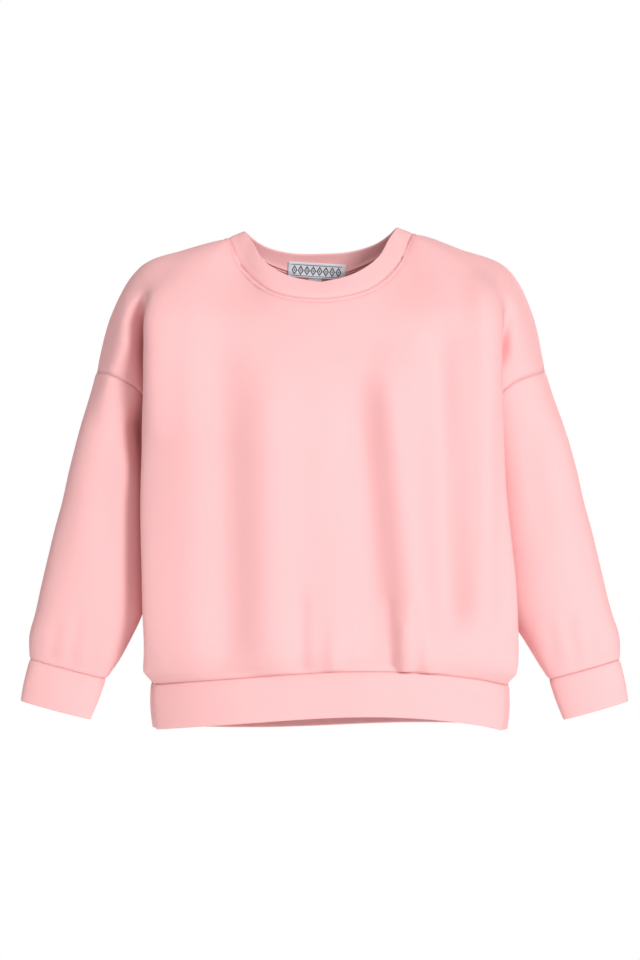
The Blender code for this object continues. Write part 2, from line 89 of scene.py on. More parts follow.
# The cleft between chest and right arm: how far its guide points are moved, x, y, z.
# level, guide line, movement
CLEFT = (
    (5, 5, (0, 4, 0)),
    (6, 5, (9, 43, 4)), (6, 6, (17, 40, 7)), (6, 7, (12, 37, 8)),
    (7, 5, (2, 44, 0)), (7, 6, (9, 32, -6)), (7, 7, (7, 30, 0)),
    (8, 5, (-2, 34, 0)), (8, 6, (-1, 20, 0)), (8, 7, (0, 10, 0)),
    (9, 5, (-4, 22, 0)), (9, 6, (0, 3, 0)), (9, 7, (0, -2, 0)),
    (10, 5, (-2, 4, 0)),
)
NECK_COLUMN = 3             # the guide line that ends where collar and shoulder seam meet
BACK_SHARE = (0.74, 0.74, 0.75, 0.77, 0.85, 1.05, 0.99, 1.0)    # of the front's depth
BACK_NECK = ((0, 45, -36), (45, 36, -25), (76, 16, -8))
NECK_LIFT = (0, 0, 0, 0, 0, 0, 0, 2, 7, 14, 24)     # of the back's centre, level by level
NECK_LIFT_SHARE = (1.0, 0.85, 0.6)      # of that lift, on the guide lines from the centre outwards

# The sleeve's sections: inner edge x, z; outer edge x, z; half depth.
SLEEVE = (
    (161, -238, 239.5, -192, 43),
    (162, -262, 251.5, -239, 42),
    (168.5, -318, 266, -294, 41),
    (176.5, -367, 276, -341, 39),
    (189, -394, 282, -368, 35),
    (200, -414, 287.5, -389, 29),
    (213, -432, 287, -412.5, 19),
)

# How the wearer stands.
NECK_ROLL = math.radians(1.4)   # the left side of the neck sits higher
NECK_SHIFT = -2.3           # and the neck opening lies a little towards the right arm
BODY_LEAN = 6.8             # the hips swing to the left
ARM_IN = 4.0                # the upper left arm hangs that much closer to the body
ARM_DROP = 2.8              # and the left side of the body and the left arm that much lower
HEM_SKEW = 2.5              # the hem rises to the left of the centre
HEM_SLIM = (0.038, 0.024)   # share of its width that the right and left side lacks above the hem
# Where each of these begins, and over what distance it grows to its full amount.
NECK_AREA = (140.0, 48.0, -150.0, 90.0)     # inwards along x, then upwards along z
LEAN_AREA = (-230.0, 140.0)
HEM_AREA = (-380.0, 50.0)
SLIM_AREA = (-423.0, 68.0)                  # upwards, with the most at a third of the way
HALF_CHEST = 175.0
ARM_AREA = (150.0, 50.0)
ARM_IN_AREA = (-125.0, 60.0)                # its middle height and its reach
ARM_DROP_AREA = (-340.0, 80.0)

# Folds: x, z of the upper end; x, z of the lower end; width to the left, to the right; depth.
FRONT_FOLDS = (
    (-99, -90, -93, -428, 22, 24, -9.5),
    (-50, -130, -48, -428, 24, 22, 8.0),
    (32, -140, 58, -428, 28, 19, -10.0),
    (62, -120, 93, -428, 19, 20, 12.0),
    (113, -90, 122, -385, 16, 17, -10.0),
    (155, -40, 154, -385, 16, 13, 8.0),
    (-21, -345, -21, -432, 9, 8, -3.4),
    (10, -372, 10, -432, 8, 9, 3.4),
    (63, -348, 66, -436, 5, 5, -2.4),
    (75, -372, 77, -436, 5, 5, 2.4),
    (87, -352, 91, -436, 5, 8, -3.6),
)


def ease(value):
    """Smooth step from 0 to 1."""
    value = np.clip(value, 0.0, 1.0)
    return value * value * (3.0 - 2.0 * value)


def chord(points):
    """Knots at the mean distance between neighbouring guide lines."""
    steps = np.linalg.norm(np.diff(points, axis=0), axis=-1)
    return np.concatenate([[0.0], np.cumsum(steps.reshape(len(steps), -1).mean(axis=1))])


def spread(knots, steps, crowd=1.0):
    """Places along the knots, each stretch divided finely, and closer towards the end if asked."""
    places = [np.linspace(a, b, n * FINER, endpoint=False) for a, b, n in zip(knots, knots[1:], steps)]
    last = (places[-1] - knots[-2]) / (knots[-1] - knots[-2])
    places[-1] = knots[-1] - (knots[-1] - knots[-2]) * (1 - last) ** crowd
    return np.concatenate(places + [knots[-1:]])


def smooth(points, knots, places):
    """Cubic curves through the points along their first axis."""
    gap = np.diff(knots).reshape((-1,) + (1,) * (points.ndim - 1))
    slope = np.diff(points, axis=0) / gap
    tangent = np.empty_like(points)
    tangent[1:-1] = (gap[1:] * slope[:-1] + gap[:-1] * slope[1:]) / (gap[1:] + gap[:-1])
    tangent[0] = 1.5 * slope[0] - 0.5 * tangent[1]
    tangent[-1] = 1.5 * slope[-1] - 0.5 * tangent[-2]
    cell = np.clip(np.searchsorted(knots, places, side="right") - 1, 0, len(knots) - 2)
    length = gap[cell]
    t = (places - knots[cell]).reshape(length.shape) / length
    return ((1 + 2 * t) * (1 - t) ** 2 * points[cell] + t * (1 - t) ** 2 * length * tangent[cell]
            + t * t * (3 - 2 * t) * points[cell + 1] + t * t * (t - 1) * length * tangent[cell + 1])


def line_through(points, steps, crowd=1.0):
    """One smooth line through its own points."""
    points = np.array(points, float)
    knots = chord(points)
    return smooth(points, knots, spread(knots, steps, crowd))


def mirrored(right, left):
    """Full width from two halves that are given as on the wearer's left, from -x to +x."""
    return np.concatenate([right[:, :0:-1] * FLIP, left], axis=1)


def settle_body(points):
    """Roll and shift the neck, swing the hips, slim the sides above the hem and skew the hem."""
    x, z = points[..., 0].copy(), points[..., 2].copy()
    above_hem = np.clip((z - SLIM_AREA[0]) / SLIM_AREA[1], 0.0, 1.0)
    points[..., 0] -= x * np.where(x < 0, *HEM_SLIM) * above_hem * (1.0 - above_hem) ** 2 * 27 / 4
    near_neck = (ease((NECK_AREA[0] - np.abs(x)) / NECK_AREA[1])
                 * ease((z - NECK_AREA[2]) / NECK_AREA[3]))
    points[..., 2] += x * near_neck * math.tan(NECK_ROLL)
    points[..., 0] += near_neck * NECK_SHIFT
    points[..., 0] += BODY_LEAN * ease((LEAN_AREA[0] - z) / LEAN_AREA[1])
    wave = np.sin(math.pi * x / HALF_CHEST)
    points[..., 2] += HEM_SKEW * wave * ease((HEM_AREA[0] - z) / HEM_AREA[1])
    return points


def settle_arm(points):
    """The left arm hangs a little closer to the body at its top than the right one, and lower."""
    x, z = points[..., 0], points[..., 2]
    left = ease((x - ARM_AREA[0]) / ARM_AREA[1])
    closer = left * np.exp(-((z - ARM_IN_AREA[0]) / ARM_IN_AREA[1]) ** 2)
    lower = left * ease((ARM_DROP_AREA[0] - z) / ARM_DROP_AREA[1])
    return points - closer[..., None] * (ARM_IN, 0.0, 0.0) - lower[..., None] * (0.0, 0.0, ARM_DROP)


def half_net(back, right):
    """Guide points of one half of the front or the back: levels by guide lines."""
    levels = []
    for height, lift, front, edge_x, edge_y, flank_x, side_x in TORSO:
        share = np.array(ACROSS)
        flank_front_x = (edge_x + flank_x) / 2 - FLANK_HOLLOW
        x = np.concatenate([share * edge_x, [edge_x, flank_front_x, flank_x, side_x]])
        y = np.concatenate([front + (edge_y - front) * share ** CHEST_POWER, [edge_y],
                            edge_y * np.array(AROUND), [0.0]])
        rise = lift * (BACK_HEM_LIFT if back else 1.0) * np.concatenate([1 - share ** 2, np.zeros(4)])
        levels.append(np.stack([x, y, height + rise], axis=1))
    levels.extend(np.array(level, float) for level in YOKE)
    net = np.array(levels, float)
    if back:
        net[..., 1] *= -np.array(BACK_SHARE)
        for level, lift in enumerate(NECK_LIFT):
            net[level, :NECK_COLUMN, 2] += lift * np.array(NECK_LIFT_SHARE)
        net[-1, :NECK_COLUMN] = BACK_NECK
    elif right:
        for level, column, movement in CLEFT:
            net[level, column] += movement
    return net


SLEEVE_FULLNESS = 0.65      # 1 for an ellipse, less for a section with a flatter front and back


def sleeve_ring(section, angle):
    """Points around a sleeve, from its inner edge over the front (90 degrees) to the outer edge."""
    inner_x, inner_z, outer_x, outer_z, depth = section
    middle = np.array(((inner_x + outer_x) / 2, 0.0, (inner_z + outer_z) / 2))
    half = np.array(((inner_x - outer_x) / 2, 0.0, (inner_z - outer_z) / 2))
    angle = np.asarray(angle)[..., None]
    bow = np.sign(np.sin(angle)) * np.abs(np.sin(angle)) ** SLEEVE_FULLNESS
    return middle + half * np.cos(angle) - np.array((0.0, depth, 0.0)) * bow


def travel(line):
    """Share of the line's length passed at each of its points."""
    steps = np.linalg.norm(np.diff(line, axis=0), axis=1)
    return np.concatenate([[0.0], np.cumsum(steps)]) / steps.sum()


def pull(grid, target, reach):
    """Move the first row of the grid onto the target, and the next rows less and less."""
    share = np.maximum(0.0, 1.0 - np.arange(len(grid)) / reach) ** 2
    return grid + share[:, None, None] * (target - grid[0])


def panel(net, beside, above):
    """Dense grid of a panel. beside: guide lines past both edges, above: the level past the top."""
    wide = np.concatenate([beside[:, :1], net, beside[:, 1:]], axis=1)
    tall = np.concatenate([wide, above[None]], axis=0)
    levels = chord(tall)
    rows = smooth(tall, levels, spread(levels[:-1], TORSO_ROWS + YOKE_ROWS, NECK_CROWD))
    columns = chord(np.swapaxes(wide, 0, 1))
    steps = BODY_COLUMNS[::-1] + BODY_COLUMNS
    grid = smooth(np.swapaxes(rows, 0, 1), columns, spread(columns[1:-1], steps))
    return np.swapaxes(grid, 0, 1)


UNDERARM = len(TORSO) - 1
UNDERARM_ROW = sum(TORSO_ROWS) * FINER
NECK_HALF = sum(BODY_COLUMNS[:NECK_COLUMN]) * FINER
NECK_FIRST = sum(BODY_COLUMNS) * FINER - NECK_HALF
NECK_LAST = sum(BODY_COLUMNS) * FINER + NECK_HALF


def body_panels():
    """Dense grids of front and back, meeting exactly at their shared seams."""
    grids = {}
    for name, sign in (("front", 1.0), ("back", -1.0)):
        nets, besides, aboves, edges = [], [], [], []
        for right in (True, False):
            net = half_net(name == "back", right)
            other = half_net(name != "back", right)
            armhole = net[UNDERARM:, -1]
            beside = other[:, -2].copy()
            beside[UNDERARM + 1:] = sleeve_ring(SLEEVE[0], math.pi * travel(armhole) * sign)[1:]
            above = other[-2].copy()
            above[:NECK_COLUMN] = 2 * net[-1, :NECK_COLUMN] - net[-2, :NECK_COLUMN]
            seam = line_through(net[:UNDERARM + 1, -1], TORSO_ROWS)
            hole = line_through(armhole, YOKE_ROWS, NECK_CROWD)
            nets.append(net)
            besides.append(beside * (FLIP if right else 1.0))
            aboves.append(np.concatenate([above, sleeve_ring(SLEEVE[0], [math.pi])], axis=0)[None])
            edges.append(np.concatenate([seam, hole[1:]]) * (FLIP if right else 1.0))
        grid = panel(mirrored(*nets), np.stack(besides, axis=1), mirrored(*aboves)[0])
        shoulder = line_through(nets[1][-1, NECK_COLUMN:], BODY_COLUMNS[NECK_COLUMN:])
        neck_points = nets[1][-1:, :NECK_COLUMN + 1]
        neck = line_through(mirrored(neck_points, neck_points)[0],
                            BODY_COLUMNS[:NECK_COLUMN][::-1] + BODY_COLUMNS[:NECK_COLUMN])
        top = np.concatenate([shoulder[:0:-1] * FLIP, neck, shoulder[1:]])
        reach = 3.0 * FINER
        grid = pull(grid[::-1], top, reach)[::-1]
        for edge, way in zip(edges, (1, -1)):
            turned = pull(np.swapaxes(grid, 0, 1)[::way], edge, reach)
            grid = np.swapaxes(turned[::way], 0, 1)
        grids[name] = grid
    return grids


def normals(grid, closed):
    """Unit normal at every point of a grid, away from the wearer on an open panel."""
    wide = np.concatenate([grid[:, -1:], grid, grid[:, :1]], axis=1) if closed else grid
    across = np.gradient(wide, axis=1)
    normal = np.cross(across, np.gradient(wide, axis=0))
    if closed:
        normal = normal[:, 1:-1]
    return normal / np.linalg.norm(normal, axis=-1, keepdims=True)


def distance(grid, axis, end):
    """How far each point is from one border of its grid, along the cloth."""
    turned = grid if axis == 0 else np.swapaxes(grid, 0, 1)
    turned = turned[::-1] if end else turned
    steps = np.linalg.norm(np.diff(turned, axis=0), axis=-1)
    far = np.concatenate([np.zeros((1, turned.shape[1])), np.cumsum(steps, axis=0)])
    far = far[::-1] if end else far
    return far if axis == 0 else far.T


def fold_height(grid, folds):
    """Height of the listed folds over every point of a grid."""
    total = np.zeros(grid.shape[:2])
    for top_x, top_z, low_x, low_z, left, right, depth in folds:
        top = np.array((top_x, top_z), float)
        way = np.array((low_x, low_z), float) - top
        length = np.linalg.norm(way)
        offset = grid[..., ::2] - top
        along = offset @ way / length
        side = (offset[..., 1] * way[0] - offset[..., 0] * way[1]) / length
        width = np.where(side < 0, left, right)
        taper = (left + right) / 2
        ends = ease((along + taper) / (3 * taper)) * ease((length + taper - along) / (3 * taper))
        total += depth * ends * np.exp(-(side / width) ** 2)
    return total


SEAM_SINK = 0.65            # a seam draws the cloth in by this much
SEAM_REACH = 1.6            # within about this distance
SWELL = (0.2, 5.0, 3.0)     # height of the swell beside it, its distance and its reach
WELT = 4.4                  # width of the seam allowance that the stitches beside the neck hold flat
WELT_RISE = 0.8
WELT_SLOPES = (1.0, 1.2)    # it rises from the seam over this distance, and falls towards the stitches
STITCH_SINK = 0.55          # the stitches draw the cloth in by this much
STITCH_REACH = 0.9


def seam_height(far):
    """Hollow along a seam, and the faint swell of the seam allowance under the cloth beside it."""
    return (-SEAM_SINK * np.exp(-(far / SEAM_REACH) ** 2)
            + SWELL[0] * np.exp(-((far - SWELL[1]) / SWELL[2]) ** 2))


def beside_line(grid, line):
    """Distance of every point of a grid from a line of points."""
    start, way = line[:-1], np.diff(line, axis=0)
    offset = grid[..., None, :] - start
    share = np.clip((offset * way).sum(axis=-1) / (way * way).sum(axis=-1), 0.0, 1.0)
    return np.linalg.norm(offset - share[..., None] * way, axis=-1).min(axis=-1)


def welt_height(far):
    """Cloth raised over the seam allowance of the neck, and drawn in under the row of stitches."""
    raised = WELT_RISE * ease(far / WELT_SLOPES[0]) * ease((WELT - far) / WELT_SLOPES[1])
    return raised - STITCH_SINK * np.exp(-((far - WELT) / STITCH_REACH) ** 2)


def lay(name, grid, closed, facing, wall, finishes):
    """Piece of cloth with its face on the grid and its thickness, if it has a wall, behind it.

    facing is 1 where the grid's columns and rows turn its face outwards, and else -1. The cloth's
    own map runs in metres: across the wales, then along them.
    """
    rows, columns = grid.shape[:2]
    spans = columns if closed else columns - 1
    wide = np.concatenate([grid, grid[:, :1]], axis=1) if closed else grid
    down, along = chord(grid), chord(np.swapaxes(wide, 0, 1))
    quads, places = [], []
    for row in range(rows - 1):
        for column in range(spans):
            corners = [(row, column), (row, column + 1), (row + 1, column + 1), (row + 1, column)]
            for r, c in corners[::facing]:
                places.extend((along[c] * MM, down[r] * MM))
            quads.append([r * columns + c % columns for r, c in corners[::facing]])
    mesh = bpy.data.meshes.new(name)
    mesh.from_pydata((grid.reshape(-1, 3) * MM).tolist(), [], quads)
    mesh.uv_layers.new(name="cloth").data.foreach_set("uv", places)
    mesh.shade_smooth()
    for finish in finishes:
        mesh.materials.append(finish)
    piece = bpy.data.objects.new(name, mesh)
    bpy.context.collection.objects.link(piece)
    if wall:
        thick = piece.modifiers.new("thickness", "SOLIDIFY")
        thick.thickness = wall * MM
        thick.offset = -1.0
        thick.material_offset = len(finishes) - 1
    return piece


def surface(name, settings):
    """New material with these settings of its shader."""
    made = bpy.data.materials.new(name)
    made.use_nodes = True
    for setting, value in settings.items():
        made.node_tree.nodes["Principled BSDF"].inputs[setting].default_value = value
    return made


def arithmetic(made):
    """Function that works out one value of a material from others, each a socket or a number."""
    def reckon(kind, first, second=0.0):
        """One step of arithmetic."""
        step = made.node_tree.nodes.new("ShaderNodeMath")
        step.operation = kind
        for socket, value in zip(step.inputs, (first, second)):
            if isinstance(value, (int, float)):
                socket.default_value = value
            else:
                made.node_tree.links.new(value, socket)
        return step.outputs["Value"]
    return reckon


WAVE_STEP = math.tau / 20.0     # length of one wave of Blender's wave texture at scale 1


def ribs(made, period, direction, stray):
    """Ribs with this period in metres on the cloth's own map, which stray so far from straight."""
    nodes, links = made.node_tree.nodes, made.node_tree.links
    cloth = nodes.new("ShaderNodeUVMap")
    cloth.uv_map = "cloth"
    wave = nodes.new("ShaderNodeTexWave")
    wave.bands_direction = direction
    wave.inputs["Scale"].default_value = WAVE_STEP / period
    wave.inputs["Distortion"].default_value = stray
    wave.inputs["Detail"].default_value = 1.0
    wave.inputs["Detail Scale"].default_value = 2.0
    links.new(cloth.outputs["UV"], wave.inputs["Vector"])
    return wave.outputs["Fac"]


def cloud(made, scale, detail):
    """Soft uneven patches, about scale of them to a metre."""
    nodes, links = made.node_tree.nodes, made.node_tree.links
    place = nodes.new("ShaderNodeTexCoord")
    patch = nodes.new("ShaderNodeTexNoise")
    patch.inputs["Scale"].default_value = scale
    patch.inputs["Detail"].default_value = detail
    links.new(place.outputs["Object"], patch.inputs["Vector"])
    return patch.outputs["Fac"]


def tint(made, first, second, share):
    """Colour a material between two tones, by a share that its nodes work out."""
    nodes, links = made.node_tree.nodes, made.node_tree.links
    tone = nodes.new("ShaderNodeMix")
    tone.data_type = "RGBA"
    tone.inputs["A"].default_value = first
    tone.inputs["B"].default_value = second
    links.new(share, tone.inputs["Factor"])
    links.new(tone.outputs["Result"], nodes["Principled BSDF"].inputs["Base Color"])


def emboss(made, height, strength, depth):
    """Relief of a material, this many metres deep, from a height that its nodes work out."""
    nodes, links = made.node_tree.nodes, made.node_tree.links
    bump = nodes.new("ShaderNodeBump")
    bump.inputs["Strength"].default_value = strength
    bump.inputs["Distance"].default_value = depth
    links.new(height, bump.inputs["Height"])
    links.new(bump.outputs["Normal"], nodes["Principled BSDF"].inputs["Normal"])


KNIT_DEPTH = 0.0004             # of the relief of the stitches, in metres
STRAY = 0.6                     # how unevenly the rows of stitches run
SHADES = (0.965, 1.03)          # the colour varies between these shares of itself
PATCHES, FINE, NAP = 0.6, 0.22, 0.8     # shares of broad patches, of fine marks, and of the nap in them


def knit(name, colour, wale, course, relief, fuzz):
    """Knitted cloth: columns of stitches wale wide, rows of them course high, in metres."""
    made = surface(name, {"Roughness": 0.9, "Specular IOR Level": 0.25, "Sheen Weight": fuzz,
                          "Sheen Roughness": 0.6, "Sheen Tint": (1.0, 0.7, 0.7, 1.0)})
    reckon = arithmetic(made)
    stitches = reckon("MULTIPLY", ribs(made, wale, "X", STRAY), ribs(made, course, "Y", STRAY))
    nap, faded = cloud(made, 900.0, 3.0), cloud(made, 9.0, 3.0)
    fine = reckon("MULTIPLY", reckon("ADD", stitches, nap), FINE)
    dark, light = ([min(1.0, c * shade) for c in colour[:3]] + [1.0] for shade in SHADES)
    tint(made, dark, light, reckon("ADD", reckon("MULTIPLY", faded, PATCHES), fine))
    emboss(made, reckon("ADD", stitches, reckon("MULTIPLY", nap, NAP)), relief, KNIT_DEPTH)
    return made


PINK = (0.885, 0.475, 0.478, 1.0)
PINK_INSIDE = (0.905, 0.49, 0.495, 1.0)
outside = knit("pink_fleece_face", PINK, 0.0011, 0.0008, 0.35, 0.12)
inside = knit("pink_fleece_brushed", PINK_INSIDE, 0.004, 0.003, 0.7, 0.3)

body = {name: settle_arm(settle_body(grid)) for name, grid in body_panels().items()}

FOLD_FADE = 7.0             # folds run out within this distance of a seam


def pressed(grid, closed, facing, folds, borders, raised=0.0):
    """Press folds into a grid and draw it in along its borders, each given by axis and end."""
    far = [distance(grid, axis, end) for axis, end in borders]
    edges = np.minimum.reduce(far)
    height = fold_height(grid, folds) * ease(edges / FOLD_FADE) + seam_height(edges) + raised
    return grid + normals(grid, closed) * facing * height[..., None]


ALL_ROUND = ((0, False), (0, True), (1, False), (1, True))
neck_far = {name: beside_line(grid, grid[-1, NECK_FIRST:NECK_LAST + 1]) for name, grid in body.items()}
front = pressed(body["front"], False, 1, FRONT_FOLDS, ALL_ROUND, welt_height(neck_far["front"]))
piece = lay("front_panel", front, False, 1, FLEECE, (outside, inside))
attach(piece, "root")
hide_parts("front")

# --------------------------------------------------------------
# Back. A second panel of the same fleece, higher at the neck. It is sewn to the front at the
# shoulders and down both sides, wrong sides out, so each seam shows only as a fine line.
# --------------------------------------------------------------
BACK_FOLDS = (
    (-105, -110, -98, -425, 26, 26, -5.0),
    (-30, -170, -22, -425, 24, 24, -3.5),
    (62, -150, 70, -425, 24, 24, -5.0),
    (128, -190, 126, -425, 18, 18, -3.5),
    (0, -60, 0, -160, 40, 40, -3.0),
)
SEWN_IN = 8                 # rows over which a piece gives way to the edge that it is sewn to


def sewn(grid, edge, axis, end):
    """Draw one border of a grid onto the edge that it is sewn to, and the cloth beside it after it."""
    turned = grid if axis == 0 else np.swapaxes(grid, 0, 1)
    turned = pull(turned[::-1] if end else turned, edge, SEWN_IN)
    turned = turned[::-1] if end else turned
    return turned if axis == 0 else np.swapaxes(turned, 0, 1)


back = pressed(body["back"], False, -1, BACK_FOLDS, ALL_ROUND, welt_height(neck_far["back"]))
for column in (0, -1):
    side = np.concatenate([front[:UNDERARM_ROW + 1, column], back[UNDERARM_ROW + 1:, column]])
    back = sewn(back, side, 1, column == -1)
shoulders = np.concatenate([front[-1, :NECK_FIRST + 1], back[-1, NECK_FIRST + 1:NECK_LAST],
                            front[-1, NECK_LAST:]])
back = sewn(back, shoulders, 0, True)
piece = lay("back_panel", back, False, -1, FLEECE, (outside, inside))
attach(piece, "root")
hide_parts("back")

# --------------------------------------------------------------
# Sleeves. Each is one panel, folded round the arm, closed by a seam on its inner side and set
# into the armhole below the point of the shoulder. Its cloth gathers where the cuff takes it in.
# --------------------------------------------------------------
SLEEVE_ROWS = (3, 2, 4, 3, 2, 2, 2)
SLEEVE_FOLDS = (
    (200, -180, 214, -300, 14, 14, -2.0),
    (246, -240, 262, -330, 14, 14, -1.8),
    (236, -365, 248, -424, 8, 9, -2.0),
    (258, -372, 266, -420, 6, 8, -1.5),
    (218, -370, 228, -424, 8, 8, -1.4),
)
TURNED_IN = 1.5             # the front of the right armhole is turned in towards the body
SLOT_EDGE = -197.0          # the chest presses the right sleeve out as far as this line
SLOT_GIVE = 0.43            # by this share of the sleeve's distance from it
SLOT_TOP = (-150.0, 40.0)   # beginning here, and growing downwards over this distance
SLOT_LOW = (-367.0, 129.0)  # it ends here, and begins to ease off this far above
SLOT_FADE = 0.6
CUFF_OUTSIDE = 300.0        # outer edge of the left cuff
OUT_AT_CUFF = 2.5           # it moves out by this much
OUT_MORE_INSIDE = 0.07      # and each millimetre further in by this much more
RAISED = 2.5                # and up by this much


def sleeve_grid(front, back, right):
    """Grid of a sleeve as at +X and its points' angles: rows down the arm, columns from underarm."""
    if right:
        front, back = front[:, ::-1] * FLIP, back[:, ::-1] * FLIP
    before = -1 - FINER
    hole = np.concatenate([front[UNDERARM_ROW:, -1], back[-2:UNDERARM_ROW:-1, -1]])
    ahead = np.concatenate([front[UNDERARM_ROW:, before], back[-2:UNDERARM_ROW:-1, before]])
    ahead[0] = (front[UNDERARM_ROW, before] + back[UNDERARM_ROW, before]) / 2
    turned_in = TURNED_IN if right else 1.0
    angle = math.pi * np.concatenate([travel(front[UNDERARM_ROW:, -1]) ** turned_in,
                                      2.0 - travel(back[UNDERARM_ROW:, -1])[-2:0:-1]])
    lines = np.array([ahead, hole] + [sleeve_ring(section, angle) for section in SLEEVE])
    knots = chord(lines)
    return smooth(lines, knots, spread(knots[1:], SLEEVE_ROWS)), angle


def held_out(points):
    """The left forearm is held a little further out and up, and looks narrower at its cuff."""
    share = ease((ARM_DROP_AREA[0] - points[..., 2]) / ARM_DROP_AREA[1])
    out = OUT_AT_CUFF + OUT_MORE_INSIDE * (CUFF_OUTSIDE - points[..., 0])
    return points + np.stack([share * out, 0 * share, share * RAISED], axis=-1)


def pressed_off(sleeve):
    """The chest presses the inner side of the right sleeve away and leaves a narrow, deep slot."""
    x, z = sleeve[..., 0], sleeve[..., 2]
    above_end = np.clip((z - SLOT_LOW[0]) / SLOT_LOW[1], 0.0, 1.0) ** SLOT_FADE
    share = SLOT_GIVE * ease((SLOT_TOP[0] - z) / SLOT_TOP[1]) * above_end
    moved = sleeve.copy()
    moved[..., 0] -= np.maximum(0.0, x - SLOT_EDGE) * share
    return moved


level_body = body_panels()
sleeves = {}
for side, sign, column in (("left", 1, -1), ("right", -1, 0)):
    folds = [(x * sign, z, low_x * sign, low_z, left, right, depth)
             for x, z, low_x, low_z, left, right, depth in SLEEVE_FOLDS]
    grid, angle = sleeve_grid(level_body["front"], level_body["back"], side == "right")
    sleeve = settle_arm(grid * (sign, 1, 1))
    sleeve = pressed_off(sleeve) if side == "right" else held_out(sleeve)
    sleeve = pressed(sleeve, True, -sign, folds, ((0, False), (0, True)))
    hole = np.concatenate([front[UNDERARM_ROW:, column], back[-2:UNDERARM_ROW:-1, column]])
    sleeve = sewn(sleeve, hole, 0, False)
    sleeves[side] = grid, angle, sleeve
    piece = lay(side + "_sleeve", sleeve, True, -sign, FLEECE, (outside, inside))
    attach(piece, "root")
    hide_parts("sleeve_" + side)

# --------------------------------------------------------------
# Hem band. One strip of a firmer knit, folded double lengthwise, a little shorter than the hem
# that it is sewn to, so that the body gathers softly above it.
# --------------------------------------------------------------
BAND = 2.6
HEM_BAND_HEIGHT = 44.0
HEM_DRAW = (0.993, 0.95, 1.0)   # width, depth and height of its free edge, as shares of its seam's
HEM_BULGE = 1.5
BAND_ROWS = 22
EDGE_LINES = 7              # lines that round the folded edge
band_cloth = knit("pink_band_knit", PINK, 0.0011, 0.0008, 0.3, 0.1)


def band_grid(seam, edge, bulge):
    """Grid from a seam loop to a free edge, bulging away from its middle halfway."""
    away = (seam - seam.mean(axis=0)) * (1, 1, 0)
    away *= bulge / np.linalg.norm(away, axis=1, keepdims=True)
    share = np.linspace(0, 1, BAND_ROWS + 1)[:, None, None]
    return seam + (edge - seam) * share + away * np.sin(math.pi * share)


def fold_double(name, grid, facing, wall, finish):
    """Band folded over at its free edge, the last row of the grid, and closed where it is sewn on."""
    out = normals(grid, True) * facing
    within = grid - out * wall
    middle = (grid[-1] + within[-1]) / 2
    onward = grid[-1] - grid[-2]
    onward *= wall / 2 / np.linalg.norm(onward, axis=1, keepdims=True)
    turns = np.linspace(0, math.pi, EDGE_LINES + 2)[1:-1, None, None]
    fold = middle + (grid[-1] - middle) * np.cos(turns) + onward * np.sin(turns)
    rings = np.concatenate([grid, fold, within[::-1], grid[:1]])
    piece = lay(name, rings, True, facing, 0.0, (finish,))
    shell = bmesh.new()
    shell.from_mesh(piece.data)
    bmesh.ops.remove_doubles(shell, verts=shell.verts, dist=1e-6)
    shell.to_mesh(piece.data)
    shell.free()
    return piece


level_seam = np.concatenate([body["front"][0, :-1], body["back"][0, :0:-1]])
level_edge = level_seam * HEM_DRAW - (0.0, 0.0, HEM_BAND_HEIGHT - BAND / 2)
band = pressed(band_grid(level_seam, level_edge, HEM_BULGE), True, -1, (), ((0, False),))
seam = np.concatenate([front[0, :-1], back[0, :0:-1]])
band = sewn(band, seam, 0, False)
piece = fold_double("hem_band_cloth", band, -1, BAND, band_cloth)
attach(piece, "root")
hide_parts("hem_band")

# --------------------------------------------------------------
# Neck band. The same knit folded double, set round the neck and caught down with a row of
# stitches beside its seam, which raises a flat welt on the cloth between seam and stitches.
# --------------------------------------------------------------
COLLAR_TOP = ((0, -58, -46), (31, -54, -39), (56, -37, -22.5), (68, -16, -3), (75.5, 0, 8.5),
              (68, 10, 2), (55, 23, -6), (30, 35, -12.6), (0, 38, -14))
COLLAR_STEPS = (2, 2, 2, 2, 2, 2, 2, 2)
COLLAR_BULGE = 0.9
level_seam = np.concatenate([body["front"][-1, NECK_FIRST:NECK_LAST],
                             body["back"][-1, NECK_LAST:NECK_FIRST:-1]])
left = line_through(COLLAR_TOP, COLLAR_STEPS)
right = left * FLIP
edge = settle_body(np.concatenate([right[NECK_HALF:0:-1], left[:-1], right[:NECK_HALF:-1]]))
band = pressed(band_grid(level_seam, edge, COLLAR_BULGE), True, 1, (), ((0, False),))
seam = np.concatenate([front[-1, NECK_FIRST:NECK_LAST], back[-1, NECK_LAST:NECK_FIRST:-1]])
band = sewn(band, seam, 0, False)
piece = fold_double("neck_band", band, 1, BAND, band_cloth)
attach(piece, "root")
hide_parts("collar")

# --------------------------------------------------------------
# Neck stitching. A row of plain stitches in matching thread runs round the neck on the outside,
# beside the seam, and its under threads show as two rows on the inside.
# --------------------------------------------------------------
STITCH_LIFT = 0.15          # the stitches lie this high over the face of the cloth
UNDER_LIFT = -FLEECE - 0.1  # and their under threads below its inner side
FIRST_ROW = 1.2             # distance of the inner row of under threads from the neck seam
thread = surface("pink_thread", {"Roughness": 0.55, "Sheen Weight": 0.1})
tint(thread, (0.72, 0.33, 0.34, 1.0), (0.86, 0.45, 0.46, 1.0), cloud(thread, 2500.0, 2.0))


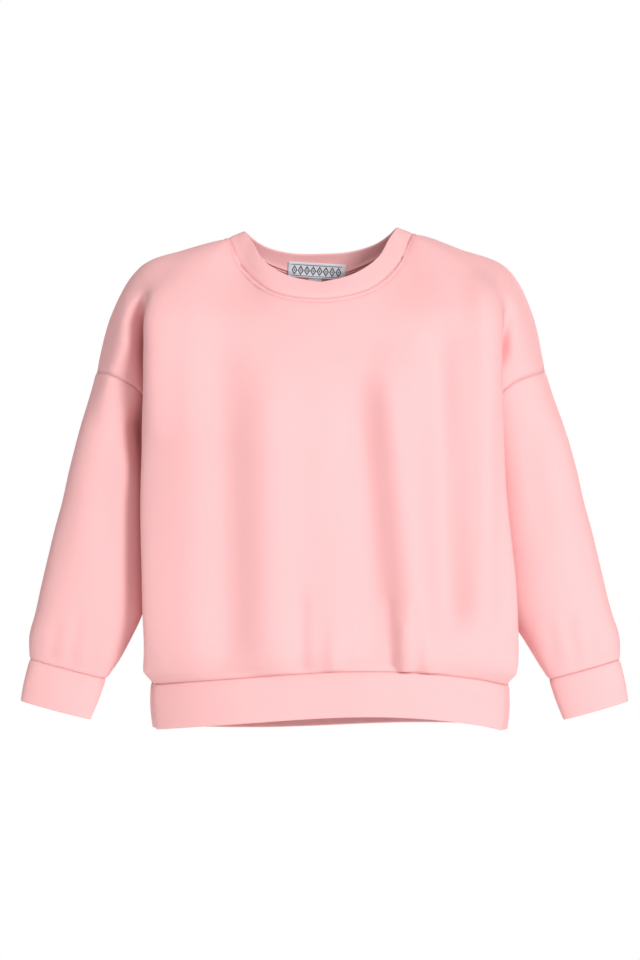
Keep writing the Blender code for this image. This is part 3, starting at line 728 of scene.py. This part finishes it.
def sewing_tree():
    """Nodes that lay one stitch after the other along the lines of a mesh."""
    tree = bpy.data.node_groups.new("row_of_stitches", "GeometryNodeTree")
    tree.interface.new_socket(name="Line", in_out="INPUT", socket_type="NodeSocketGeometry")
    for name in ("Pitch", "Stitch length", "Thread width"):
        tree.interface.new_socket(name=name, in_out="INPUT", socket_type="NodeSocketFloat")
    tree.interface.new_socket(name="Thread", in_out="INPUT", socket_type="NodeSocketMaterial")
    tree.interface.new_socket(name="Stitches", in_out="OUTPUT", socket_type="NodeSocketGeometry")
    given = tree.nodes.new("NodeGroupInput")
    taken = tree.nodes.new("NodeGroupOutput")
    curve = tree.nodes.new("GeometryNodeMeshToCurve")
    spaced = tree.nodes.new("GeometryNodeResampleCurve")
    spaced.mode = "LENGTH"
    ball = tree.nodes.new("GeometryNodeMeshUVSphere")
    ball.inputs["Segments"].default_value = 6
    ball.inputs["Rings"].default_value = 5
    ball.inputs["Radius"].default_value = 0.5
    size = tree.nodes.new("ShaderNodeCombineXYZ")
    stretched = tree.nodes.new("GeometryNodeTransform")
    tangent = tree.nodes.new("GeometryNodeInputTangent")
    turned = tree.nodes.new("FunctionNodeAlignRotationToVector")
    turned.axis = "Z"
    laid = tree.nodes.new("GeometryNodeInstanceOnPoints")
    real = tree.nodes.new("GeometryNodeRealizeInstances")
    finish = tree.nodes.new("GeometryNodeSetMaterial")
    for source, target in (
            (given.outputs["Line"], curve.inputs["Mesh"]),
            (curve.outputs["Curve"], spaced.inputs["Curve"]),
            (given.outputs["Pitch"], spaced.inputs["Length"]),
            (given.outputs["Thread width"], size.inputs["X"]),
            (given.outputs["Thread width"], size.inputs["Y"]),
            (given.outputs["Stitch length"], size.inputs["Z"]),
            (ball.outputs["Mesh"], stretched.inputs["Geometry"]),
            (size.outputs["Vector"], stretched.inputs["Scale"]),
            (tangent.outputs["Tangent"], turned.inputs["Vector"]),
            (spaced.outputs["Curve"], laid.inputs["Points"]),
            (stretched.outputs["Geometry"], laid.inputs["Instance"]),
            (turned.outputs["Rotation"], laid.inputs["Rotation"]),
            (laid.outputs["Instances"], real.inputs["Geometry"]),
            (real.outputs["Geometry"], finish.inputs["Geometry"]),
            (given.outputs["Thread"], finish.inputs["Material"]),
            (finish.outputs["Geometry"], taken.inputs["Stitches"])):
        tree.links.new(source, target)
    return tree


SEWING = sewing_tree()


def sew(name, lines, pitch, length, width):
    """Rows of stitches along open or closed lines, each given as points and whether it closes."""
    points, edges = [], []
    for line, closes in lines:
        first = len(points)
        points.extend((np.asarray(line) * MM).tolist())
        edges.extend((first + k, first + k + 1) for k in range(len(line) - 1))
        if closes:
            edges.append((len(points) - 1, first))
    mesh = bpy.data.meshes.new(name + "_line")
    mesh.from_pydata(points, edges, [])
    marked = bpy.data.objects.new(name + "_line", mesh)
    bpy.context.collection.objects.link(marked)
    rows = marked.modifiers.new("stitches", "NODES")
    rows.node_group = SEWING
    given = {"Pitch": pitch * MM, "Stitch length": length * MM, "Thread width": width * MM,
             "Thread": thread}
    for socket in SEWING.interface.items_tree:
        if socket.in_out == "INPUT" and socket.name in given:
            rows[socket.identifier] = given[socket.name]
    bpy.context.view_layer.update()
    stitched = marked.evaluated_get(bpy.context.evaluated_depsgraph_get())
    done = bpy.data.meshes.new_from_object(stitched)
    marked.modifiers.clear()
    bpy.data.objects.remove(marked)
    bpy.data.meshes.remove(mesh)
    done.name = name
    done.shade_smooth()
    piece = bpy.data.objects.new(name, done)
    bpy.context.collection.objects.link(piece)
    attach(piece, "root")


def row_beside(panel, facing, far, reach, lift):
    """Line on a panel at one distance from the neck seam, lifted off its face by this much."""
    face = panel + normals(panel, False) * facing * lift
    found = []
    for column in range(far.shape[1]):
        row = np.flatnonzero(far[:, column] < reach)
        if len(row) and row[0] > 0:
            low, high = far[row[0] - 1, column], far[row[0], column]
            share = (low - reach) / (low - high)
            found.append(face[row[0] - 1, column] * (1 - share) + face[row[0], column] * share)
    return np.array(found)


def round_neck(reach, lift):
    """Closed line round the neck, over the front and back along the back."""
    return np.concatenate([row_beside(front, 1, neck_far["front"], reach, lift),
                           row_beside(back, -1, neck_far["back"], reach, lift)[::-1]]), True


sew("neck_topstitch", [round_neck(WELT, STITCH_LIFT)], pitch=3.0, length=2.5, width=0.55)
sew("neck_under_threads", [round_neck(WELT, UNDER_LIFT), round_neck(FIRST_ROW, UNDER_LIFT)],
    pitch=2.2, length=2.0, width=0.6)

# --------------------------------------------------------------
# Neck label and size tab. A woven satin label lies inside the back neck over the band's seam,
# sewn down along its two short ends, with a small tab caught in below it. Both have a plain
# woven border and figures of lozenges.
# --------------------------------------------------------------
LABEL_CENTRE = (-6.3, -30.0)        # x and z
LABEL_SIZE = (57.0, 15.0)
LABEL_CLEAR = 1.0           # distance of its face from what it lies on
TAB_CENTRE = (-8.2, -39.3)
TAB_SIZE = (14.0, 14.0)
TAB_CLEAR = 0.35
LABEL_TILT = math.radians(-3.4)
LABEL_WALL = 0.45
TAB_WALL = 0.36
LABEL_SMOOTHING = 12        # rounds in which the label evens out what it lies on
# The weave, in metres.
PLAIN_ENDS = 0.007          # length without lozenges, both ends together
BORDER = 0.0019             # from the long edges to the border line
BORDER_HALF = 0.00035       # half its width
BORDER_END = 0.003          # and from the short edges to its ends
WARP, WEFT = 0.0004, 0.0003
WEAVE_DEPTH = 0.0002
WEAVE_RELIEF = 0.4          # strength of that relief
DRAWN_RISE = 0.6            # height of border and lozenges over the ground, as a share of the weave's
DRAWN_TONE, GRAIN_TONE = 0.9, 0.08      # how far they, and the single threads, change the colour
# A lozenge, in shares of its half size: middle and half thickness of its outline, then its core.
OUTLINE, OUTLINE_HALF, CORE = 0.76, 0.22, 0.27


def woven(name, ground, figure, size, count, reach):
    """Satin with a border and a row of count lozenges that reach this far up and down, in metres."""
    made = surface(name, {"Roughness": 0.5})
    reckon = arithmetic(made)
    nodes, links = made.node_tree.nodes, made.node_tree.links
    cloth = nodes.new("ShaderNodeUVMap")
    cloth.uv_map = "cloth"
    split = nodes.new("ShaderNodeSeparateXYZ")
    links.new(cloth.outputs["UV"], split.inputs["Vector"])
    across = reckon("ABSOLUTE", reckon("SUBTRACT", split.outputs["X"], size[0] / 2))
    up = reckon("ABSOLUTE", reckon("SUBTRACT", split.outputs["Y"], size[1] / 2))

    step = (size[0] - PLAIN_ENDS) / count
    cell = reckon("FRACT", reckon("ADD", reckon("DIVIDE", across, step), 0.5 * (count % 2)))
    aside = reckon("ABSOLUTE", reckon("SUBTRACT", cell, 0.5))
    rhomb = reckon("ADD", reckon("MULTIPLY", aside, 2.0), reckon("DIVIDE", up, reach))
    outline = reckon("LESS_THAN", reckon("ABSOLUTE", reckon("SUBTRACT", rhomb, OUTLINE)), OUTLINE_HALF)
    core = reckon("LESS_THAN", rhomb, CORE)
    within = reckon("LESS_THAN", across, step * count / 2)
    figures = reckon("MULTIPLY", reckon("MAXIMUM", outline, core), within)

    from_line = reckon("ABSOLUTE", reckon("SUBTRACT", up, size[1] / 2 - BORDER))
    line = reckon("LESS_THAN", from_line, BORDER_HALF)
    short = reckon("LESS_THAN", across, size[0] / 2 - BORDER_END)
    drawn = reckon("MAXIMUM", figures, reckon("MULTIPLY", line, short))

    grain = reckon("MULTIPLY", ribs(made, WARP, "X", 0.0), ribs(made, WEFT, "Y", 0.0))
    tone = reckon("ADD", reckon("MULTIPLY", drawn, DRAWN_TONE), reckon("MULTIPLY", grain, GRAIN_TONE))
    tint(made, ground, figure, tone)
    emboss(made, reckon("ADD", grain, reckon("MULTIPLY", drawn, DRAWN_RISE)), WEAVE_RELIEF, WEAVE_DEPTH)
    return made


seen_by = bpy.context.evaluated_depsgraph_get()
carriers = [BVHTree.FromObject(bpy.data.objects[name], seen_by) for name in ("neck_band", "back_panel")]


def lie_inside(centre, size, clear, columns, rows):
    """Grid of a small piece of cloth that lies against the inside of the back neck."""
    grid = np.zeros((rows + 1, columns + 1, 3))
    depths = np.zeros((rows + 1, columns + 1))
    for row, up in enumerate(np.linspace(-0.5, 0.5, rows + 1)):
        for column, over in enumerate(np.linspace(-0.5, 0.5, columns + 1)):
            x, z = over * size[0], up * size[1]
            place = (centre[0] + x * math.cos(LABEL_TILT) - z * math.sin(LABEL_TILT), 0.0,
                     centre[1] + x * math.sin(LABEL_TILT) + z * math.cos(LABEL_TILT))
            hits = [tree.ray_cast(Vector(place) * MM, Vector((0, 1, 0)))[0] for tree in carriers]
            grid[row, column] = place
            depths[row, column] = min(hit.y for hit in hits if hit) / MM
    for turn in range(LABEL_SMOOTHING):
        around = np.pad(depths, 1, mode="edge")
        depths = np.minimum(depths, (around[:-2, 1:-1] + around[2:, 1:-1]
                                     + around[1:-1, :-2] + around[1:-1, 2:]) / 4)
    grid[..., 1] = depths - clear
    return grid


label_finish = woven("woven_label", (0.70, 0.76, 0.82, 1.0), (0.03, 0.035, 0.05, 1.0),
                     (0.057, 0.015), 8, 0.0052)
tab_finish = woven("woven_tab", (0.80, 0.83, 0.86, 1.0), (0.06, 0.065, 0.08, 1.0),
                   (0.014, 0.014), 3, 0.002)
label = lie_inside(LABEL_CENTRE, LABEL_SIZE, LABEL_CLEAR, 38, 12)
piece = lay("woven_label", label, False, 1, LABEL_WALL, (label_finish,))
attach(piece, "root")
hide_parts("neck_label")
tab = lie_inside(TAB_CENTRE, TAB_SIZE, TAB_CLEAR, 10, 10)
piece = lay("woven_tab", tab, False, 1, TAB_WALL, (tab_finish,))
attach(piece, "root")
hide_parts("size_tab")
ends = [(label[1:-1, column] - (0.0, STITCH_LIFT, 0.0), False) for column in (1, -2)]
sew("label_stitches", ends, pitch=1.9, length=1.5, width=0.35)

# --------------------------------------------------------------
# Cuffs. Short tubes of the band knit, folded double, narrower than the sleeves that they close.
# --------------------------------------------------------------
CUFF_LENGTH = 41.0
CUFF_HALF_WIDTH = 35.5      # at the open end
CUFF_HALF_DEPTH = 14.0
CUFF_BULGE = 1.0
CUFF_LEAN = math.radians(17.0)      # of the cuff's axis away from the body
CUFF_TILT = math.radians(15.0)      # of its open end
for side, sign in (("left", 1), ("right", -1)):
    grid, angle, sleeve = sleeves[side]
    ring = grid[-1]
    middle = (ring[0] + ring[len(ring) // 2]) / 2
    middle = middle + CUFF_LENGTH * np.array((math.sin(CUFF_LEAN), 0, -math.cos(CUFF_LEAN)))
    reach = CUFF_HALF_WIDTH * np.array((-math.cos(CUFF_TILT), 0, -math.sin(CUFF_TILT)))
    turn = angle[:, None]
    edge = middle + reach * np.cos(turn) - np.array((0, CUFF_HALF_DEPTH, 0)) * np.sin(turn)
    band = settle_arm(band_grid(ring, edge, CUFF_BULGE) * (sign, 1, 1))
    band = band if side == "right" else held_out(band)
    band = sewn(pressed(band, True, -sign, (), ((0, False),)), sleeve[-1], 0, False)
    piece = fold_double(side + "_cuff", band, -sign, BAND, band_cloth)
    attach(piece, "root")
    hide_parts("cuff_" + side)

# --------------------------------------------------------------
# Photographer's studio: a camera level with the chest, four metres away, a white surround and
# a pale floor a child's height below the neck. The main lamp stands in front on the wearer's
# left, weaker ones straight in front, high on the right, above and behind. All in metres.
# --------------------------------------------------------------
CAMERA = (-0.003, -4.0, -0.237)
SENSOR = 0.036
PIXEL = 0.00098             # of the photograph, at the distance of the neck
PHOTO_WIDTH = 640           # pixels
LIT_BY = 0.19               # strength of the surround as it lights the cloth
FLOOR_HALF = 2.5
FLOOR_Z = -1.03
AIM = Vector((0, 0, -0.25))
# name, place, diameter, watts
LAMPS = (
    ("key", (1.95, -3.25, 0.8), 1.1, 111.0),
    ("front", (0.0, -3.9, 0.3), 1.6, 23.0),
    ("side", (-3.0, -0.8, 1.6), 1.6, 32.0),
    ("top", (0.3, -0.8, 2.6), 1.6, 14.0),
    ("back", (1.3, 3.4, 1.1), 1.6, 85.0),
)
scene = bpy.context.scene
scene.view_settings.view_transform = "Standard"
eye = bpy.data.cameras.new("camera")
eye.sensor_fit = "HORIZONTAL"
eye.sensor_width = SENSOR * 1000
eye.lens = SENSOR * 1000 * -CAMERA[1] / (PHOTO_WIDTH * PIXEL)
camera = bpy.data.objects.new("camera", eye)
camera.location = CAMERA
camera.rotation_euler = (math.radians(90), 0, 0)
scene.collection.objects.link(camera)
scene.camera = camera

world = bpy.data.worlds.new("white surround")
scene.world = world
world.use_nodes = True
nodes, links = world.node_tree.nodes, world.node_tree.links
seen = nodes["Background"]
seen.inputs["Color"].default_value = (1.0, 1.0, 1.0, 1.0)
seen.inputs["Strength"].default_value = 1.0
lit = nodes.new("ShaderNodeBackground")
lit.inputs["Color"].default_value = (1.0, 1.0, 1.0, 1.0)
lit.inputs["Strength"].default_value = LIT_BY
path = nodes.new("ShaderNodeLightPath")
either = nodes.new("ShaderNodeMixShader")
links.new(path.outputs["Is Camera Ray"], either.inputs["Fac"])
links.new(lit.outputs["Background"], either.inputs[1])
links.new(seen.outputs["Background"], either.inputs[2])
links.new(either.outputs["Shader"], nodes["World Output"].inputs["Surface"])

for name, place, size, power in LAMPS:
    light = bpy.data.lights.new(name, "AREA")
    light.shape = "DISK"
    light.size = size
    light.energy = power
    lamp = bpy.data.objects.new(name, light)
    lamp.location = place
    lamp.rotation_euler = (AIM - Vector(place)).to_track_quat("-Z", "Y").to_euler()
    scene.collection.objects.link(lamp)

floor_mesh = bpy.data.meshes.new("floor")
corners = [(x * FLOOR_HALF, y * FLOOR_HALF, FLOOR_Z) for x, y in ((-1, -1), (1, -1), (1, 1), (-1, 1))]
floor_mesh.from_pydata(corners, [], [(0, 1, 2, 3)])
floor = bpy.data.objects.new("floor", floor_mesh)
scene.collection.objects.link(floor)
paint = surface("pale floor", {"Base Color": (0.8, 0.8, 0.8, 1), "Emission Color": (1, 1, 1, 1),
                               "Emission Strength": 0.3})
floor_mesh.materials.append(paint)
